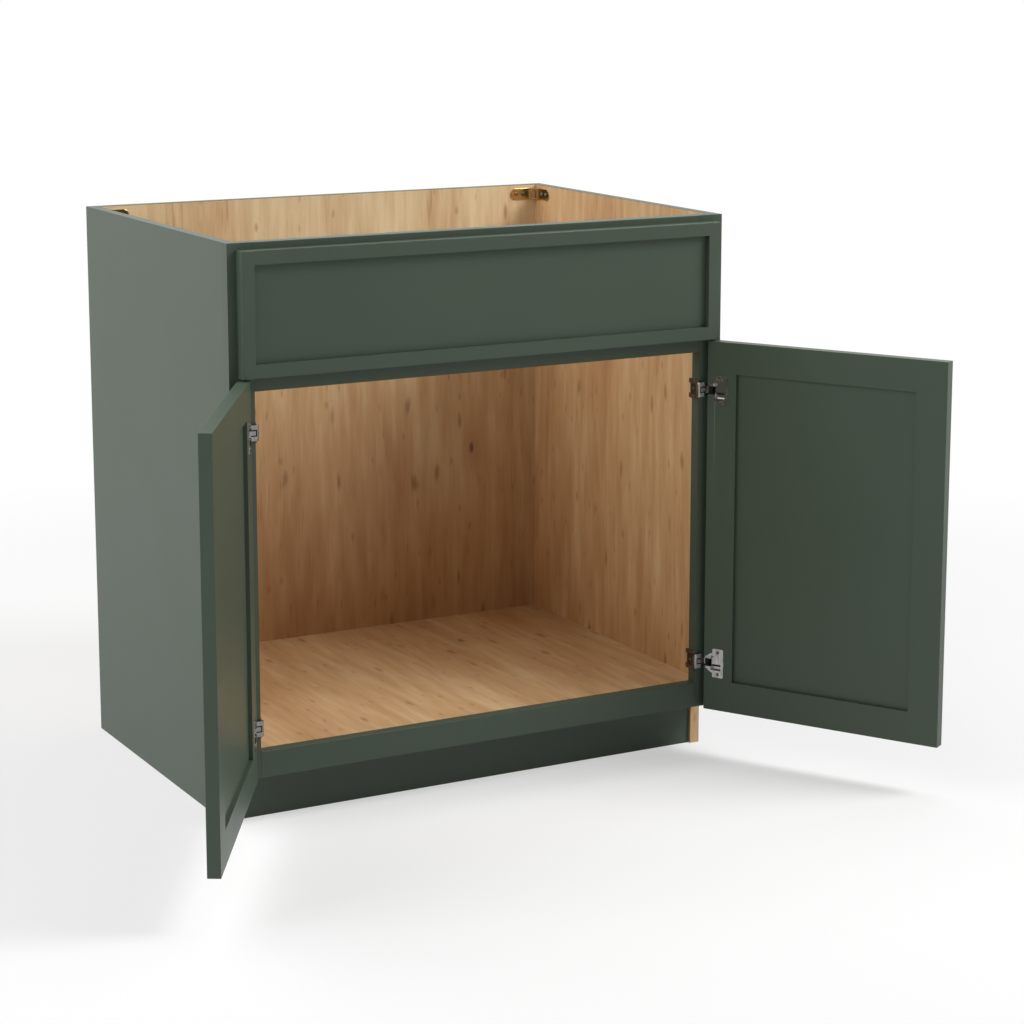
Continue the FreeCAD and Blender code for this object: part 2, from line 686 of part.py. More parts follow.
def make_hinge_arm(label, placement):
    """Bent strip with a rolled eye: it leaves the cup and wraps round the stile's edge."""
    body = new_body(label, placement)
    half = size.arm_width / 2
    wrap = hinge_outline([
        (plate_end, arm_front),
        (arm_face, arm_front),
        (arm_face, -size.arm_leg_length),
        (base_face, -size.arm_leg_length),
        (base_face, size.arm_stand_off),
        (plate_end, size.arm_stand_off),
    ])
    pad(body, "XY_Plane", -half, size.arm_width, wrap)
    outer_bend = size.arm_bend_radius + size.arm_thickness
    round_edges(body, outer_bend, (from_edge(arm_face), in_front(arm_front), zero))
    round_edges(body, size.arm_bend_radius, (from_edge(base_face), in_front(size.arm_stand_off), zero))
    leg_half = size.arm_leg_width / 2
    leg_start, leg_end = in_front(zero), in_front(-size.arm_leg_length)
    for bottom, top in ((leg_half, half), (-half, -leg_half)):
        corner = rectangle(leg_start, leg_end, bottom, top)
        pocket(body, "YZ_Plane", from_edge(base_face), size.arm_thickness, corner)
    eye_front = size.pivot_reach + size.eye_radius
    eye_back = eye_front - size.arm_thickness
    neck = hinge_outline([
        (size.pivot_inset, eye_front),
        (neck_bend + size.neck_mitre, eye_front),
        (neck_foot + size.neck_mitre, arm_front),
        (plate_end + size.arm_thickness, arm_front),
        (plate_end + size.arm_thickness, size.arm_stand_off),
        (neck_foot - size.neck_mitre, size.arm_stand_off),
        (neck_bend - size.neck_mitre, eye_back),
        (size.pivot_inset, eye_back),
    ])
    neck_half = size.neck_width / 2
    pad(body, "XY_Plane", -neck_half, size.neck_width, neck)
    pad(body, "XY_Plane", -neck_half, size.neck_width, Disc(zero, zero, size.eye_radius))
    eye_bore = Disc(zero, zero, size.pin_radius + size.eye_clearance)
    pocket(body, "XY_Plane", -neck_half, size.neck_width, eye_bore)
    right = from_edge(base_face - size.arm_bend_radius)
    left = right - size.arm_window_length
    slit = size.arm_window_slit
    top = size.arm_window_height / 2
    window = Outline([
        (right, top),
        (right, -top),
        (left, -top),
        (left, slit - top),
        (right - slit, slit - top),
        (right - slit, top - slit),
        (left, top - slit),
        (left, top),
    ])
    pocket(body, "XZ_Plane", outward(size.arm_stand_off), size.arm_thickness, window)
    hole = Disc(in_front(-size.frame_thickness / 2), zero, size.hinge_screw_radius + size.screw_fit)
    pocket(body, "YZ_Plane", from_edge(base_face), size.arm_thickness, hole)


def make_hinge_base(label, placement):
    """Plate on the stile's inner edge, with a hook and two ears behind the frame."""
    body = new_body(label, placement)
    hook_front = -(size.frame_thickness + size.base_hook_fit)
    hook_back = hook_front - size.base_thickness
    tail = -(size.frame_thickness + size.base_tail)
    section = hinge_outline([
        (size.front_overlay, -size.base_front_gap),
        (base_face, -size.base_front_gap),
        (base_face, tail),
        (size.front_overlay, tail),
        (size.front_overlay, hook_back),
        (size.front_overlay - size.base_hook_length, hook_back),
        (size.front_overlay - size.base_hook_length, hook_front),
        (size.front_overlay, hook_front),
    ])
    top = base_half
    pad(body, "XY_Plane", -top, top * 2, section)
    plate_middle = from_edge(size.front_overlay + size.base_thickness / 2)
    ends = (in_front(-size.base_front_gap), in_front(tail))
    round_edges(body, size.base_corner, *[(plate_middle, y, z) for y in ends for z in both_sides(top)])
    ear_half = size.base_ear_gap / 2
    ear_gap = rectangle(in_front(hook_back), in_front(tail), -ear_half, ear_half)
    pocket(body, "YZ_Plane", from_edge(size.front_overlay), size.base_thickness, ear_gap)
    radius = size.hinge_screw_radius + size.screw_fit
    levels = (zero, *both_sides(base_screw_level))
    holes = [Disc(in_front(-size.frame_thickness / 2), z, radius) for z in levels]
    pocket(body, "YZ_Plane", from_edge(size.front_overlay), size.base_thickness, *holes)


def make_hinge_pin(label, side, level):
    pin = doc.addObject("Part::Cylinder", label)
    pin.Label = label
    length = lug_half * 2
    pin.setExpression("Radius", size.pin_radius.text)
    pin.setExpression("Height", length.text)
    foot = level + lug_half if side > 0 else level - lug_half
    pin.setExpression("Placement", hung(side, foot, size.open_angle))


HINGE_LEVELS = (("upper", door_middle + hinge_level), ("lower", door_middle - hinge_level))


def make_hinges(name, side):
    for height, level in HINGE_LEVELS:
        label = f"{name}_{height}_hinge"
        make_hinge_base(f"{label}_base", hung(side, level, zero))
        make_hinge_arm(f"{label}_arm", hung(side, level, zero))
        make_hinge_cup(f"{label}_cup", hung(side, level, size.open_angle))
        make_hinge_pin(f"{label}_pin", side, level)


# Corner braces: a bent strip across each top corner. In its own frame the walls are X = 0 and
# Y = 0, and the room is on the + side of both.

BRACES = (
    ("back_left", -inner_half, -size.back_thickness, -90),
    ("back_right", inner_half, -size.back_thickness, 180),
    ("front_left", -inner_half, -frame_back, 0),
    ("front_right", inner_half, -frame_back, 90),
)
# The bridge meets the legs at 45 degrees, so its inner bends are mitred by half of that.
MITRE_SHIFT = math.sqrt(2) - 1
brace_inner_cut = size.brace_cut + size.brace_thickness * MITRE_SHIFT


def make_corner_brace(name, x, y, turn):
    level = brace_middle - size.brace_height / 2
    place = f"placement(vector({x.text}; {y.text}; {level.text}); rotation({turn}; 0; 0))"
    body = new_body(f"{name}_corner_brace", place)
    wall = size.brace_thickness
    strip = Outline([
        (size.brace_cut, zero),
        (size.brace_leg, zero),
        (size.brace_leg, wall),
        (brace_inner_cut, wall),
        (wall, brace_inner_cut),
        (wall, size.brace_leg),
        (zero, size.brace_leg),
        (zero, size.brace_cut),
    ])
    pad(body, "XY_Plane", zero, size.brace_height, strip)
    ends = []
    for z in (zero, size.brace_height):
        ends.append((size.brace_leg, wall / 2, z))
        ends.append((wall / 2, size.brace_leg, z))
    round_edges(body, size.brace_end_radius, *ends)
    middle = size.brace_height / 2
    radius = size.brace_screw_radius + size.screw_fit
    holes = [Disc(distance, middle, radius) for distance in brace_holes]
    pocket(body, "XZ_Plane", -wall, wall, *holes)
    pocket(body, "YZ_Plane", zero, wall, *holes)
    left = (size.brace_cut + wall - size.brace_window_length) / 2
    half = size.brace_window_height / 2
    window = rectangle(left, left + size.brace_window_length, middle - half, middle + half)
    pocket(body, "XZ_Plane", -brace_inner_cut, brace_inner_cut, window)


# Screws: alike fasteners of one body share a group.

# Flat top of a screw head, as a share of the head's radius.
HEAD_CROWN = 0.7


def screw_shape(head_radius, head_height, radius, length):
    """A screw with its seat at the origin and its tip towards -Z."""
    profile = [
        Vector(0, 0, head_height.value),
        Vector(head_radius.value * HEAD_CROWN, 0, head_height.value),
        Vector(head_radius.value, 0, 0),
        Vector(radius.value, 0, 0),
        Vector(radius.value, 0, -length.value),
        Vector(0, 0, -length.value),
    ]
    half_section = Part.Face(Part.makePolygon([*profile, profile[0]]))
    return half_section.revolve(Vector(0, 0, 0), Vector(0, 0, 1), FULL_TURN)


def seat(x, y, z, direction):
    """Placement of a screw whose tip points along a direction."""
    spot = Vector(x.value, y.value, z.value)
    return Placement(spot, Rotation(Vector(0, 0, -1), Vector(*direction)))


def make_screw_group(label, shape, seats):
    copies = []
    for place in seats:
        screw = shape.copy()
        screw.Placement = place
        copies.append(screw)
    group = doc.addObject("Part::Feature", label)
    group.Label = label
    group.Shape = Part.makeCompound(copies)
    group.Placement = Placement()


def placed(label):
    return doc.getObjectsByLabel(label)[0].Placement


def make_hinge_screws():
    shape = screw_shape(
        size.hinge_screw_head_radius,
        size.hinge_screw_head_height,
        size.hinge_screw_radius,
        size.hinge_screw_length,
    )
    base_seats = []
    depth = in_front(-size.frame_thickness / 2)
    for name, _ in SIDES:
        cup_seats = []
        for height, _ in HINGE_LEVELS:
            label = f"{name}_{height}_hinge"
            fixed = placed(f"{label}_base")
            for z in both_sides(base_screw_level):
                base_seats.append(fixed * seat(from_edge(base_face), depth, z, (-1, 0, 0)))
            base_seats.append(fixed * seat(from_edge(arm_face), depth, zero, (-1, 0, 0)))
            moving = placed(f"{label}_cup")
            for z in both_sides(size.cup_screw_spacing / 2):
                spot = seat(from_edge(size.cup_screw_inset), in_front(rim_back), z, (0, -1, 0))
                cup_seats.append(moving * spot)
        make_screw_group(f"{name}_door_hinge_screws", shape, cup_seats)
    make_screw_group("hinge_base_screws", shape, base_seats)


def make_brace_screws():
    shape = screw_shape(
        size.brace_screw_head_radius,
        size.brace_screw_head_height,
        size.brace_screw_radius,
        size.brace_screw_length,
    )
    seats = []
    middle = size.brace_height / 2
    for name, *_ in BRACES:
        corner = placed(f"{name}_corner_brace")
        for distance in brace_holes:
            seats.append(corner * seat(distance, size.brace_thickness, middle, (0, -1, 0)))
            seats.append(corner * seat(size.brace_thickness, distance, middle, (-1, 0, 0)))
    make_screw_group("corner_brace_screws", shape, seats)


def make_false_front_screws():
    shape = screw_shape(
        size.front_screw_head_radius,
        size.front_screw_head_height,
        size.front_screw_radius,
        size.frame_thickness + size.front_screw_bite,
    )
    seats = []
    for level in both_sides(front_screw_level):
        for x in both_sides(size.front_screw_place):
            seats.append(seat(x, -frame_back, false_front_middle + level, (0, -1, 0)))
    make_screw_group("false_front_screws", shape, seats)


def check_and_export():
    """Refuse a failed model, then write one file for each sub-part."""
    doc.recompute()
    for item in doc.Objects:
        if "Invalid" in item.State or "Error" in item.State:
            raise RuntimeError(f"{item.Name} failed: {item.State}")
    kinds = ("PartDesign::Body", "Part::Cylinder", "Part::Feature")
    pieces = [item for item in doc.Objects if item.TypeId in kinds]
    for piece in pieces:
        if piece.Shape.isNull() or not piece.Shape.isValid():
            raise RuntimeError(f"{piece.Label} has no valid shape")
    os.makedirs("parts", exist_ok=True)
    for piece in pieces:
        piece.Shape.exportStep(f"parts/{piece.Label}.step")
    print(f"{len(pieces)} sub-parts written")


def main():
    make_back_panel()
    make_deck_panel()
    make_toe_kick_board()
    for label in FRAME_RAILS:
        rail = make_frame_rail(label)
        if label == "frame_top_rail":
            make_brace_pilots(rail, frame_back)
            make_false_front_passages(rail, false_front_middle + front_screw_level)
        if label == "frame_mid_rail":
            make_false_front_passages(rail, false_front_middle - front_screw_level)
    for name, side in SIDES:
        make_side_panel(name, side)
        make_frame_stile(name, side)
        make_door(name, side)
        make_hinges(name, side)
    make_false_front()
    for brace in BRACES:
        make_corner_brace(*brace)
    make_hinge_screws()
    make_brace_screws()
    make_false_front_screws()
    check_and_export()


main()
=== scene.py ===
import json
import logging
import math
from dataclasses import dataclass
from enum import Enum
from typing import Mapping, Optional, Sequence, Union

import bmesh
import bpy
import numpy as np
from mathutils import Matrix, Vector

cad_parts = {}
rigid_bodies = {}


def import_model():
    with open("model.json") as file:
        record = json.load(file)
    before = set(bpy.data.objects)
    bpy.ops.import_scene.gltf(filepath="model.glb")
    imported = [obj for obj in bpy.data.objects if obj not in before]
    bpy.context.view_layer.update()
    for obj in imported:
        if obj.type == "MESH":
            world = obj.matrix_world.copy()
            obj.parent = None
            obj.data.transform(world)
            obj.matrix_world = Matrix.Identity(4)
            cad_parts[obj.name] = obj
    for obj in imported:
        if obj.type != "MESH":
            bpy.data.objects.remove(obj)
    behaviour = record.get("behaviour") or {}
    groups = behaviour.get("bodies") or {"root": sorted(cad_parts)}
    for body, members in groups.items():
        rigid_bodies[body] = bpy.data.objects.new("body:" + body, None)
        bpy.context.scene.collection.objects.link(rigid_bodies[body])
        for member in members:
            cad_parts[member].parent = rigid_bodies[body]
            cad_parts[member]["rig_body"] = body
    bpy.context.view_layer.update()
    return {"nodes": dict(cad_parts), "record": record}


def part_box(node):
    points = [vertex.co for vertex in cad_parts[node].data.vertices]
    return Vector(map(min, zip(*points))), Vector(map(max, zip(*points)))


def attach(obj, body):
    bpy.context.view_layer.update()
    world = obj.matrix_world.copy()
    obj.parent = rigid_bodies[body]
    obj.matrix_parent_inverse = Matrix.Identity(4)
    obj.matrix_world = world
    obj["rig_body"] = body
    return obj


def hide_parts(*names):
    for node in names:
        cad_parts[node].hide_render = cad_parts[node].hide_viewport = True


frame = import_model()

# The looks of a sink base cabinet: a satin painted face-frame box with a pale knotty inside,
# nickel-plated hinges and yellow zinc corner braces. Lengths are metres, in the part's own frame:
# +X points right, the doors face -Y and +Z points up.

log = logging.getLogger("sink_base_cabinet")

Colour = tuple[float, float, float]
Point = tuple[float, float, float]
Limits = tuple[float, float]
Socket = Union[int, str]
SIDES = ("left", "right")
HEIGHTS = ("upper", "lower")
WHITE = (1.0, 1.0, 1.0)
OPAQUE = 1.0
NOISE_MIDDLE = 0.5
HALF = 0.5


class Signal:
    """A shader socket that takes part in Python arithmetic."""

    def __init__(self, bench: "Workbench", socket: bpy.types.NodeSocket) -> None:
        """Keep the socket and the bench that adds nodes for it."""
        self.bench = bench
        self.socket = socket

    def _math(self, operation: str, left: "Value", right: "Value" = 0.0) -> "Signal":
        """Add one Math node.

        Args:
            operation: Blender's name of the operation.
            left: First value.
            right: Second value.

        Returns:
            The node's result.
        """
        return self.bench.node("ShaderNodeMath", {"operation": operation}, {0: left, 1: right})

    def __add__(self, other: "Value") -> "Signal":
        """Sum."""
        return self._math("ADD", self, other)

    def __radd__(self, other: "Value") -> "Signal":
        """Sum with a number on the left."""
        return self._math("ADD", other, self)

    def __sub__(self, other: "Value") -> "Signal":
        """Difference."""
        return self._math("SUBTRACT", self, other)

    def __rsub__(self, other: "Value") -> "Signal":
        """Difference with a number on the left."""
        return self._math("SUBTRACT", other, self)

    def __mul__(self, other: "Value") -> "Signal":
        """Product."""
        return self._math("MULTIPLY", self, other)

    def __rmul__(self, other: "Value") -> "Signal":
        """Product with a number on the left."""
        return self._math("MULTIPLY", other, self)

    def __gt__(self, other: "Value") -> "Signal":
        """1 where the signal is above the other value, else 0."""
        return self._math("GREATER_THAN", self, other)

    def __abs__(self) -> "Signal":
        """Size without sign."""
        return self._math("ABSOLUTE", self)

    def rise(self, low: float, high: float) -> "Signal":
        """Go smoothly from 0 at low to 1 at high.

        Args:
            low: Value where the rise starts.
            high: Value where it ends.

        Returns:
            The smooth step.
        """
        settings = {"interpolation_type": "SMOOTHSTEP"}
        return self.bench.node("ShaderNodeMapRange", settings, {0: self, 1: low, 2: high})

    def also(self, output: Socket) -> "Signal":
        """Another output of the same node."""
        return Signal(self.bench, self.socket.node.outputs[output])


Value = Union[Signal, float]


class Workbench:
    """Adds nodes to one shader tree."""

    MIX_FACTOR, MIX_FIRST, MIX_SECOND, MIX_RESULT = 0, 6, 7, 2

    def __init__(self, tree: bpy.types.NodeTree) -> None:
        """Start with an empty tree."""
        self.tree = tree
        tree.nodes.clear()

    def node(
        self,
        kind: str,
        settings: Optional[Mapping[str, object]] = None,
        inputs: Optional[Mapping[Socket, object]] = None,
        output: Socket = 0,
    ) -> Signal:
        """Add a node, set it up and feed its sockets.

        Args:
            kind: Blender's type name of the node.
            settings: Properties that are set first; "stops" are a ramp's places and colours.
            inputs: Values or signals for its sockets.
            output: The output that is wanted.

        Returns:
            That output as a signal.
        """
        made = self.tree.nodes.new(kind)
        for name, setting in (settings or {}).items():
            if name == "stops":
                self._set_stops(made.color_ramp, setting)
            else:
                setattr(made, name, setting)
        for key, value in (inputs or {}).items():
            if isinstance(value, Signal):
                self.tree.links.new(value.socket, made.inputs[key])
            else:
                made.inputs[key].default_value = value
        return Signal(self, made.outputs[output] if made.outputs else None)

    @staticmethod
    def _set_stops(ramp: bpy.types.ColorRamp, stops: Sequence[tuple[float, Colour]]) -> None:
        """Give a ramp its stops.

        Args:
            ramp: The ramp of a new node, which has two stops.
            stops: Places from 0 to 1 with their colours.
        """
        while len(ramp.elements) < len(stops):
            ramp.elements.new(1.0)
        for element, (place, colour) in zip(ramp.elements, stops):
            element.position = place
            element.color = (*colour, OPAQUE)

    def place(self) -> tuple[Signal, Signal, Signal]:
        """The point on the surface, as X, Y and Z in metres."""
        spot = self.node("ShaderNodeTexCoord", output="Object")
        x = self.node("ShaderNodeSeparateXYZ", inputs={0: spot})
        return x, x.also("Y"), x.also("Z")

    def vector(self, x: Value, y: Value, z: Value = 0.0) -> Signal:
        """Three values as one vector."""
        return self.node("ShaderNodeCombineXYZ", inputs={0: x, 1: y, 2: z})

    def noise(self, spot: Signal, detail: float) -> Signal:
        """Cloudy values about NOISE_MIDDLE.

        Args:
            spot: Where to look, already scaled.
            detail: Octaves of finer noise.

        Returns:
            The noise, mostly from 0.2 to 0.8.
        """
        inputs = {"Vector": spot, "Scale": 1.0, "Detail": detail}
        return self.node("ShaderNodeTexNoise", {"noise_dimensions": "3D"}, inputs)

    def clouds(self, scale: float, detail: float) -> Signal:
        """Cloudy values all over the piece.

        Args:
            scale: Clouds in a metre.
            detail: Octaves of finer noise.

        Returns:
            The noise about NOISE_MIDDLE.
        """
        x, y, z = self.place()
        return self.noise(self.vector(x * scale, y * scale, z * scale), detail)

    def length(self, x: Signal, y: Signal) -> Signal:
        """Distance of a place from the origin of the X-Y plane."""
        inputs = {0: self.vector(x, y)}
        return self.node("ShaderNodeVectorMath", {"operation": "LENGTH"}, inputs, "Value")

    def mix(self, share: Value, first: "Paint", second: "Paint") -> Signal:
        """Blend two colours.

        Args:
            share: 0 for the first colour, 1 for the second.
            first: A colour or a signal that carries one.
            second: The other one.

        Returns:
            The blended colour.
        """
        ends = [end if isinstance(end, Signal) else (*end, OPAQUE) for end in (first, second)]
        inputs = {self.MIX_FACTOR: share, self.MIX_FIRST: ends[0], self.MIX_SECOND: ends[1]}
        return self.node("ShaderNodeMix", {"data_type": "RGBA"}, inputs, self.MIX_RESULT)


Paint = Union[Signal, Colour]


@dataclass(frozen=True)
class Coat:
    """What a finish lays on a surface; the height is in metres."""

    colour: Signal
    roughness: Signal
    height: Signal

    def over(self, other: "Coat", mask: Signal, bench: Workbench) -> "Coat":
        """Lay this coat over another one.

        Args:
            other: The coat below.
            mask: 1 where this coat covers it.
            bench: Adds the nodes.

        Returns:
            The joined coat.
        """
        return Coat(
            bench.mix(mask, other.colour, self.colour),
            other.roughness + (self.roughness - other.roughness) * mask,
            other.height + (self.height - other.height) * mask,
        )


@dataclass(frozen=True)
class Finish:
    """A finish that can be laid on a piece; each kind says how its coat varies.

    Attributes:
        name: Name of the material.
        roughness: Roughness about which the coat's varies.
        metallic: 1 for a metal, else 0.
        specular: Strength of the reflections of a finish that isn't metal.
    """

    name: str
    roughness: float
    metallic: float = 0.0
    specular: float = 0.5

    def lay(self, bench: Workbench) -> Coat:
        """The coat of this kind of finish."""
        raise NotImplementedError

    def material(self) -> bpy.types.Material:
        """Make the material.

        Returns:
            A node material whose colour, roughness and relief follow the coat.
        """
        made = bpy.data.materials.new(self.name)
        made.use_nodes = True
        bench = Workbench(made.node_tree)
        coat = self.lay(bench)
        relief = bench.node("ShaderNodeBump", inputs={"Height": coat.height, "Distance": 1.0})
        surface = bench.node(
            "ShaderNodeBsdfPrincipled",
            inputs={
                "Base Color": coat.colour,
                "Roughness": coat.roughness,
                "Metallic": self.metallic,
                "Specular IOR Level": self.specular,
                "Normal": relief,
            },
        )
        bench.node("ShaderNodeOutputMaterial", inputs={"Surface": surface})
        return made


@dataclass(frozen=True, kw_only=True)
class SatinPaint(Finish):
    """Sprayed satin paint: faint clouds of tone and the fine relief of orange peel.

    Attributes:
        colour: Middle of the paint's tones.
        tone_spread: Share by which the clouds are darker and lighter.
        peel_height: Height of the orange peel.
    """

    colour: Colour
    tone_spread: float = 0.07
    peel_height: float = 6e-6

    CLOUD_SCALE = 5.0
    CLOUD_SHEEN = 0.12
    PEEL_SCALE = 800.0
    PEEL_SHEEN = 0.05

    def lay(self, bench: Workbench) -> Coat:
        """Even colour with faint clouds and orange peel.

        Args:
            bench: Adds the nodes.

        Returns:
            The paint's coat.
        """
        cloud = bench.clouds(self.CLOUD_SCALE, detail=3.0)
        peel = bench.clouds(self.PEEL_SCALE, detail=1.0)
        low = tuple(part * (1.0 - self.tone_spread) for part in self.colour)
        high = tuple(part * (1.0 + self.tone_spread) for part in self.colour)
        sheen = (cloud - NOISE_MIDDLE) * self.CLOUD_SHEEN + (peel - NOISE_MIDDLE) * self.PEEL_SHEEN
        return Coat(
            bench.mix(cloud, low, high),
            self.roughness + sheen,
            peel * self.peel_height,
        )


class Grain(Enum):
    """Direction of the fibres in a wooden board."""

    UPRIGHT = "upright"
    INWARD = "inward"


@dataclass(frozen=True)
class GrainLayer:
    """One pattern in the wood.

    Attributes:
        across: How often it repeats in a metre across the fibres.
        along: How often it repeats in a metre along the fibres.
        detail: Octaves of finer noise.
        sway: How far it pushes finer patterns aside.
        tone: What it adds to the tone, from pale to brown.
        sheen: What it adds to the roughness.
    """

    across: float
    along: float
    detail: float = 0.0
    sway: float = 0.0
    tone: float = 0.0
    sheen: float = 0.0


@dataclass(frozen=True)
class SpotKind:
    """One kind of small spot.

    Attributes:
        layer: Spacing of the places where a spot may be.
        edge: Distances in spacings between which a spot fades.
        lots: Lots between which a place comes to have a spot.
        stain: Share of brown in a spot.
        shade: Share of the dark colour in a spot.
    """

    layer: GrainLayer
    edge: Limits
    lots: Limits
    stain: float
    shade: float


@dataclass(frozen=True, kw_only=True)
class KnottyWood(Finish):
    """Clear-coated pale wood with short soft streaks, knots, flecks and hair lines along the grain.

    Attributes:
        grain: Direction of the fibres.
        seed: Makes a board differ from others.
        painted_shade_downwards: How much browner a metre further down is, painted shade low on the board
            and painted light near its top.
        pale: Lightest tone.
        tan: Middle tone.
        brown: Tone of dark streaks, and stain round knots and in flecks.
        dark: Colour of knots.
    """

    grain: Grain = Grain.UPRIGHT
    seed: float = 0.0
    painted_shade_downwards: float = 0.0
    pale: Colour = (0.77, 0.6, 0.36)
    tan: Colour = (0.58, 0.37, 0.19)
    brown: Colour = (0.42, 0.215, 0.095)
    dark: Colour = (0.11, 0.055, 0.025)

    # Patterns of the grain, then the knots and two kinds of small spots.
    DRIFT = GrainLayer(3.0, 0.9, 2.0, sway=0.05)
    BROAD = GrainLayer(10.0, 2.0, 3.0, tone=0.38)
    STREAK = GrainLayer(52.0, 6.0, 3.0, sway=0.02, tone=0.34, sheen=0.25)
    FIBRE = GrainLayer(380.0, 12.0, 2.0, tone=0.1, sheen=0.1)
    HAIR = GrainLayer(230.0, 10.0, 1.0, sway=0.006)
    KNOTS = GrainLayer(3.4, 1.5, sway=0.012)
    FLECKS = SpotKind(GrainLayer(21.0, 6.5), edge=(0.01, 0.14), lots=(0.4, 0.95), stain=0.5, shade=0.42)
    SPECKS = SpotKind(GrainLayer(47.0, 15.0), edge=(0.02, 0.17), lots=(0.55, 0.9), stain=0.45, shade=0.14)
    # Tones of the plain wood; at NEUTRAL_SHADE_LEVEL above the floor the painted shade changes nothing.
    TONE_MIDDLE = 0.48
    PALE_TONE, TAN_TONE, BROWN_TONE = 0.3, 0.48, 0.68
    NEUTRAL_SHADE_LEVEL = 0.45
    # Lot above which a place has a knot, and distances in spacings where core and halo fade.
    KNOT_LOT = 0.55
    KNOT_CORE = (0.008, 0.02)
    KNOT_HALO = (0.015, 0.1)
    CORE_SHADE, CORE_DEPTH = 0.8, 1e-4
    HALO_STAIN = 0.4
    # Values of the hair and broad patterns between which a dark vein comes up.
    VEIN_HAIRS = (0.1, 0.22)
    VEIN_PLACES = (-0.02, 0.1)
    VEIN_STAIN, VEIN_SHADE = 0.4, 0.08
    FIBRE_HEIGHT = 2.5e-5

    def lay(self, bench: Workbench) -> Coat:
        """Streaks, fibres, knots, flecks and hair lines.

        Args:
            bench: Adds the nodes.

        Returns:
            The wood's coat.
        """
        x, y, z = bench.place()
        along, across = (z, x + y) if self.grain is Grain.UPRIGHT else (y, x + z)
        line = across + self._cloud(bench, self.DRIFT, across, along) * self.DRIFT.sway
        knot, lot = self._spots(bench, self.KNOTS, line, along)
        chosen = lot > self.KNOT_LOT
        core = (1.0 - knot.rise(*self.KNOT_CORE)) * chosen
        halo = (1.0 - knot.rise(*self.KNOT_HALO)) * chosen
        line = line + halo * self.KNOTS.sway
        broad = self._cloud(bench, self.BROAD, line, along)
        streak = self._cloud(bench, self.STREAK, line, along)
        fibre = self._cloud(bench, self.FIBRE, line, along)
        hair = self._cloud(bench, self.HAIR, line, along)
        uneven = line + streak * self.STREAK.sway + hair * self.HAIR.sway
        fleck = self._marks(bench, self.FLECKS, uneven, along)
        speck = self._marks(bench, self.SPECKS, uneven, along)
        vein = hair.rise(*self.VEIN_HAIRS) * broad.rise(*self.VEIN_PLACES)
        varied = broad * self.BROAD.tone + streak * self.STREAK.tone + fibre * self.FIBRE.tone
        # Painted shade browns the wood below NEUTRAL_SHADE_LEVEL and painted light makes it paler above.
        painted_downwards = (self.NEUTRAL_SHADE_LEVEL - along) * self.painted_shade_downwards
        ends = ((self.PALE_TONE, self.pale), (self.TAN_TONE, self.tan), (self.BROWN_TONE, self.brown))
        inputs = {0: self.TONE_MIDDLE + varied + painted_downwards}
        wood = bench.node("ShaderNodeValToRGB", {"stops": ends}, inputs)
        stain = halo * self.HALO_STAIN + vein * self.VEIN_STAIN
        stain = stain + fleck * self.FLECKS.stain + speck * self.SPECKS.stain
        shade = core * self.CORE_SHADE + vein * self.VEIN_SHADE
        shade = shade + fleck * self.FLECKS.shade + speck * self.SPECKS.shade
        return Coat(
            bench.mix(shade, bench.mix(stain, wood, self.brown), self.dark),
            self.roughness + streak * self.STREAK.sheen + fibre * self.FIBRE.sheen,
            fibre * self.FIBRE_HEIGHT - core * self.CORE_DEPTH,
        )

    def _cloud(self, bench: Workbench, layer: GrainLayer, across: Signal, along: Signal) -> Signal:
        """Cloudy values about 0, drawn out along the grain.

        Args:
            bench: Adds the nodes.
            layer: Size of the clouds.
            across: Place across the grain.
            along: Place along the grain.

        Returns:
            The values, mostly from -0.3 to 0.3.
        """
        spot = bench.vector(across * layer.across, along * layer.along, self.seed)
        return bench.noise(spot, layer.detail) - NOISE_MIDDLE

    def _marks(self, bench: Workbench, kind: SpotKind, across: Signal, along: Signal) -> Signal:
        """Scatter spots of one kind over the board.

        Args:
            bench: Adds the nodes.
            kind: Spacing, size and number of the spots.
            across: Place across the grain.
            along: Place along the grain.

        Returns:
            1 inside a spot and 0 away from spots.
        """
        distance, lot = self._spots(bench, kind.layer, across, along)
        return (1.0 - distance.rise(*kind.edge)) * lot.rise(*kind.lots)

    def _spots(
        self, bench: Workbench, layer: GrainLayer, across: Signal, along: Signal
    ) -> tuple[Signal, Signal]:
        """Scatter places for spots over the board.

        Args:
            bench: Adds the nodes.
            layer: Spacing of the places.
            across: Place across the grain.
            along: Place along the grain.

        Returns:
            The distance from the nearest place in spacings, and that place's lot from 0 to 1.
        """
        spot = bench.vector(across * layer.across + self.seed, along * layer.along)
        inputs = {"Vector": spot, "Scale": 1.0}
        distance = bench.node("ShaderNodeTexVoronoi", {"voronoi_dimensions": "2D"}, inputs)
        return distance, bench.node("ShaderNodeSeparateColor", inputs={0: distance.also("Color")})


@dataclass(frozen=True, kw_only=True)
class FacedBoard(Finish):
    """A wooden board that is painted outside and on its top edge.

    Attributes:
        paint: The paint.
        wood: What shows where the paint ends.
        outer_face: Distance from the middle of the cabinet beyond which there is paint.
        top_edge: Height above which there is paint.
    """

    paint: SatinPaint
    wood: KnottyWood
    outer_face: float
    top_edge: float

    def lay(self, bench: Workbench) -> Coat:
        """Paint over wood beyond the two limits.

        Args:
            bench: Adds the nodes.

        Returns:
            The joined coat.
        """
        x, _, z = bench.place()
        outside = (abs(x) > self.outer_face) + (z > self.top_edge)
        return self.paint.lay(bench).over(self.wood.lay(bench), outside > HALF, bench)


